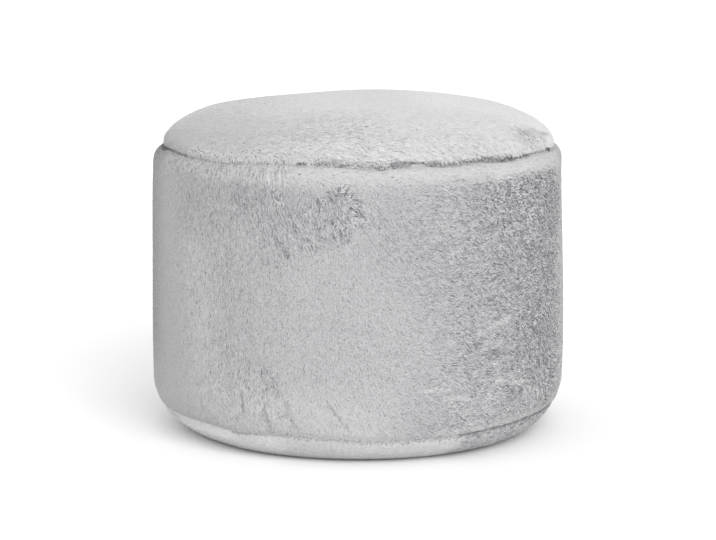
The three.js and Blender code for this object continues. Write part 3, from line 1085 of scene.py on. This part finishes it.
def drift(points, size, seed):
    """Smooth noise of about unit spread: random values on a cubic lattice of that size, blended along
    each axis by a smooth step."""
    lattice = np.random.default_rng(seed).normal(0, LATTICE_SPREAD, (LATTICE, LATTICE, LATTICE))
    at = points / size
    cell = np.floor(at).astype(int)
    part = at - cell
    part = part * part * (3 - 2 * part)
    total = np.zeros(len(points))
    for corner in np.ndindex(2, 2, 2):
        weight = np.prod(np.where(corner, part, 1 - part), axis=1)
        total += weight * lattice[tuple(((cell + corner) % LATTICE).T)]
    return total


def locks(first, second, size, seed):
    """Noise drawn out into streaks: drift averaged along the way from one point to another, and on by
    LOCK_REACH of it past both ends, with its spread put back to 1."""
    shares = np.linspace(-LOCK_REACH, 1 + LOCK_REACH, LOCK_STEPS)
    total = sum(drift(first + share * (second - first), size, seed) for share in shares)
    return total / total.std()


print("the noise repeats every", LATTICE, "steps of its lattice")

# %% Where tufts are rooted
GOLDEN_TURN = np.pi * (3 - np.sqrt(5))
ROOT_SHAKE = 0.0006


def strip_roots(pattern, count, rng):
    """Roots on a strip: a golden-angle spiral winding up the wall, which never lines up, shaken a
    little."""
    number = np.arange(count) + 0.5
    sideways = number * GOLDEN_TURN % (2 * np.pi) * pattern.radius
    up = number / count * pattern.length
    return np.column_stack([sideways, up]) + rng.normal(0, ROOT_SHAKE, (count, 2))


def disc_roots(pattern, count, rng, inner=0.0, margin=0.0):
    """Roots on a disc: the seeds of a sunflower, whose radius goes as the square root of their number.
    They lie between the radius `inner` and a margin along the seam."""
    share = (np.arange(count) + 0.5) / count
    radius = np.sqrt(inner**2 + share * ((pattern.length - margin) ** 2 - inner**2))
    angle = np.arange(count) * GOLDEN_TURN
    spots = np.column_stack([radius * np.sin(angle), -radius * np.cos(angle)])
    return spots + rng.normal(0, ROOT_SHAKE, (count, 2))


print("each root is", round(np.degrees(GOLDEN_TURN), 1), "degrees round from the one before")

# %% How a tuft lies
LIE_SPREAD = 5
RUFFLED_LIE_SPREAD = 45
RUFFLED_DRIFT = 35
DRIFT_SIZE = 0.011
DRIFT_SEED = 11
TUFT_LENGTH = 0.0068
LENGTH_SPREAD = 0.12
RUFFLED_SHORTER = 0.3
ROOT_RISE = 0.70
TUSSOCK_SIZE = 0.007
TUSSOCK_SEED = 5
TUSSOCK_SHARE = 0.4
OWN_SHARE = 0.6
TIP_RISE = 0.92
RISE_SPREAD = 0.02
RUFFLED_RISE_SPREAD = 0.40
RISE_LIMITS = (0.1, 1.6)


def laid(pattern, roots, look, rng, size):
    """Where each tuft grows on the bag, its root and its tip in the pile, and the bag's normals under
    both. A tuft leans by its comb direction. The more it is ruffled, the more it strays and stands, and
    the shorter it is."""
    count = len(roots)
    comb, ruffle = look["comb"], look["ruffle"]
    place, normal = pattern.on_bag(roots)
    depth = pattern.depth(roots)
    stray = (LIE_SPREAD + RUFFLED_LIE_SPREAD * ruffle) * rng.normal(0, 1, count)
    lie = np.radians(comb + stray + RUFFLED_DRIFT * ruffle * drift(place, DRIFT_SIZE, DRIFT_SEED))
    lean = np.column_stack([np.sin(lie), -np.cos(lie)])
    shorter = 1 - RUFFLED_SHORTER * ruffle
    length = size * TUFT_LENGTH * (1 + LENGTH_SPREAD * rng.normal(0, 1, count)) * shorter
    tussocks = TUSSOCK_SHARE * drift(place, TUSSOCK_SIZE, TUSSOCK_SEED)
    tussocks += OWN_SHARE * rng.normal(0, 1, count)
    spread = RISE_SPREAD + RUFFLED_RISE_SPREAD * ruffle
    rise = depth * np.clip(TIP_RISE + spread * tussocks, *RISE_LIMITS)
    tip, tip_normal = pattern.on_bag(roots + lean * length[:, None], pattern.hem)
    tip = tip + tip_normal * rise[:, None]
    root = place + normal * (ROOT_RISE * depth * (1 - ruffle))[:, None]
    return place, root, tip, normal, tip_normal


print("a tuft is about", round(TUFT_LENGTH / MM, 1), "mm long")

# %% The shape, shading and tone of a tuft
TUFT_WIDTH = 0.0033
WIDTH_SPREAD = 0.2
RUFFLED_THINNER = 0.5
FLOOR_GAP = 0.0004
# steps across and out, in widths of a tuft, and the tuft's four points in a square of the sheet
RING = np.array([(0.0, 0.22), (-0.5, -0.10), (0.5, -0.10)])
TUFT_DRAWING = np.array([(0.5, 0.06), (0.08, 0.06), (0.92, 0.06), (0.5, 0.94)])
SOFTNESS = 0.95
RUFFLED_CRISPER = 0.55
UNDERSIDE = 0.4  # how much of a downward tilt is left in a normal
SKEW = 0.12  # dark tufts stray further from their tone than light ones
LOCK_SHARE = 0.35
LOCK_WIDTH = 0.0013
LOCK_SEED = 7
TUFT_SHARE = 0.90


def unit(vectors):
    """The same directions, each with length 1."""
    return vectors / np.maximum(np.linalg.norm(vectors, axis=-1, keepdims=True), TINY)


def grow(pattern, roots, look, rng, size=1.0, lift=0.0):
    """Points, custom normals and UV of tufts, four vertices each: a ring of three at the root, and the
    tip. The ring is RING's steps across and out, times the width. A normal is the bag's at the tip, by
    SOFTNESS, and the tuft's own for the rest. `size` scales a tuft, and `lift` turns the normals
    upwards."""
    count = len(roots)
    look = {name: np.broadcast_to(value, count) for name, value in look.items()}
    ruffle = look["ruffle"]
    place, root, tip, normal, tip_normal = laid(pattern, roots, look, rng, size)
    axis = unit(tip - root)
    sideways = unit(np.cross(axis, normal))
    outward = np.cross(sideways, axis)
    thinner = 1 - RUFFLED_THINNER * ruffle
    width = size * TUFT_WIDTH * thinner * (1 + WIDTH_SPREAD * rng.normal(0, 1, count))
    ring = [root + width[:, None] * (across * sideways + out * outward) for across, out in RING]
    points = np.stack([*ring, tip], axis=1)
    points[..., 2] = np.maximum(points[..., 2], FLOOR_GAP)
    own = unit(np.stack([outward, outward - sideways, outward + sideways, outward], axis=1))
    soft = (SOFTNESS * (1 - RUFFLED_CRISPER * ruffle))[:, None, None]
    facing = tip_normal.copy()
    facing[:, 2] = lift + facing[:, 2] * np.where(facing[:, 2] < 0, UNDERSIDE, 1.0)
    shading = unit(soft * unit(facing)[:, None] + (1 - soft) * own)
    shake = rng.normal(0, 1, count)
    shake -= SKEW * (shake**2 - 1)
    lock = locks(place, tip, LOCK_WIDTH, LOCK_SEED)
    light = look["tone"] + look["grain"] * (LOCK_SHARE * lock + TUFT_SHARE * shake)
    square = np.clip(light * SHEET * SHEET, 0, SHEET * SHEET - 1).astype(int)
    corner = np.column_stack([square % SHEET, square // SHEET])
    uv = (corner[:, None] + TUFT_DRAWING) / SHEET
    return points, shading, uv


print("its root is", round(TUFT_WIDTH / MM, 1), "mm wide")

# %% Tufts as one mesh
TUFT_FACES = np.array([(0, 1, 2), (0, 2, 3), (2, 1, 3), (1, 0, 3)])


def add_uv(piece, places):
    """Gives the mesh a UV map named OFBake, from one (u, v) for each vertex."""
    mesh = piece.data
    corners = np.empty(len(mesh.loops), np.int32)
    mesh.loops.foreach_get("vertex_index", corners)
    layer = mesh.uv_layers.new(name="OFBake")
    layer.data.foreach_set("uv", places[corners].astype(np.float32).ravel())


def pile_piece(name, node, points, shading, uv):
    """One joined mesh of tufts, which stands for a CAD node together with the panel's skin."""
    faces = (TUFT_FACES + 4 * np.arange(len(points))[:, None, None]).reshape(-1, 3)
    piece = mesh_from(name, points.reshape(-1, 3), faces)
    add_uv(piece, uv.reshape(-1, 2))
    piece.data.normals_split_custom_set_from_vertices(shading.reshape(-1, 3))
    finish_piece(piece, node, FUR)
    print(name, len(points), "tufts,", len(faces), "triangles")


print("a tuft has", len(TUFT_FACES), "triangles")

# %% The wall's pile
WALL_TUFTS = 150000
PILE_SEED = 78

rng = np.random.default_rng(PILE_SEED)
wall_roots = strip_roots(side_pattern, WALL_TUFTS, rng)
wall_place, _ = side_pattern.on_bag(wall_roots)
wall_turn, wall_way = side_pattern.place(wall_roots)
wall_look = painted(WALL_LOOK, WALL_STROKES, round_distance(wall_turn, wall_place[:, 2]))
wall_look = painted(wall_look, LIP_STROKES, round_distance(wall_turn, side_pattern.length - wall_way))
wall_look = painted(wall_look, HEM_STROKES, round_distance(wall_turn, wall_way))
wall = grow(side_pattern, wall_roots, wall_look, rng)
quarter = np.floor((wall_turn + 45) % 360 / 90).astype(int)
for number, name in enumerate(("front", "right", "back", "left")):
    pile_piece(f"pile_side_{name}", "side_panel", *(values[quarter == number] for values in wall))

# %% The top's pile, finer along its edge, with its normals turned up to the light
TOP_TUFTS = 60000
TOP_LIFT = 1.6
EDGE_FINENESS = 0.75
TOP_FINE_EDGE = (0.004, 0.012)

top_roots = disc_roots(top_pattern, TOP_TUFTS, rng)
top_turn, _ = top_pattern.place(top_roots)
top_far = top_pattern.to_seam(top_roots)
top_look = painted(TOP_LOOK, TOP_STROKES, plan_distance(top_roots))
top_look = painted(top_look, TOP_EDGE_STROKES, round_distance(top_turn, top_far))
top_size = EDGE_FINENESS + (1 - EDGE_FINENESS) * ramp(top_far, *TOP_FINE_EDGE)
top = grow(top_pattern, top_roots, top_look, rng, size=top_size, lift=TOP_LIFT)
half = (top_roots[:, 1] > 0).astype(int)
for number, name in enumerate(("front", "back")):
    pile_piece(f"pile_top_{name}", "top_panel", *(values[half == number] for values in top))

# %% The base's pile, which reaches a little way in under the pouf
BASE_TUFTS = 20000
BASE_COARSENESS = 1.5
BASE_FINE_EDGE = (0.002, 0.014)
UNDER_RIM = 0.01
BASE_MARGIN = 0.0003

base_roots = disc_roots(base_pattern, BASE_TUFTS, rng, inner=REST_RADIUS - UNDER_RIM, margin=BASE_MARGIN)
base_turn, _ = base_pattern.place(base_roots)
base_far = base_pattern.to_seam(base_roots)
base_look = painted(BASE_LOOK, BASE_STROKES, round_distance(base_turn, base_far))
base_look["comb"] = base_look["comb"] + base_turn
base_size = EDGE_FINENESS + (BASE_COARSENESS - EDGE_FINENESS) * ramp(base_far, *BASE_FINE_EDGE)
base = grow(base_pattern, base_roots, base_look, rng, size=base_size)
pile_piece("pile_base", "base_panel", *base)
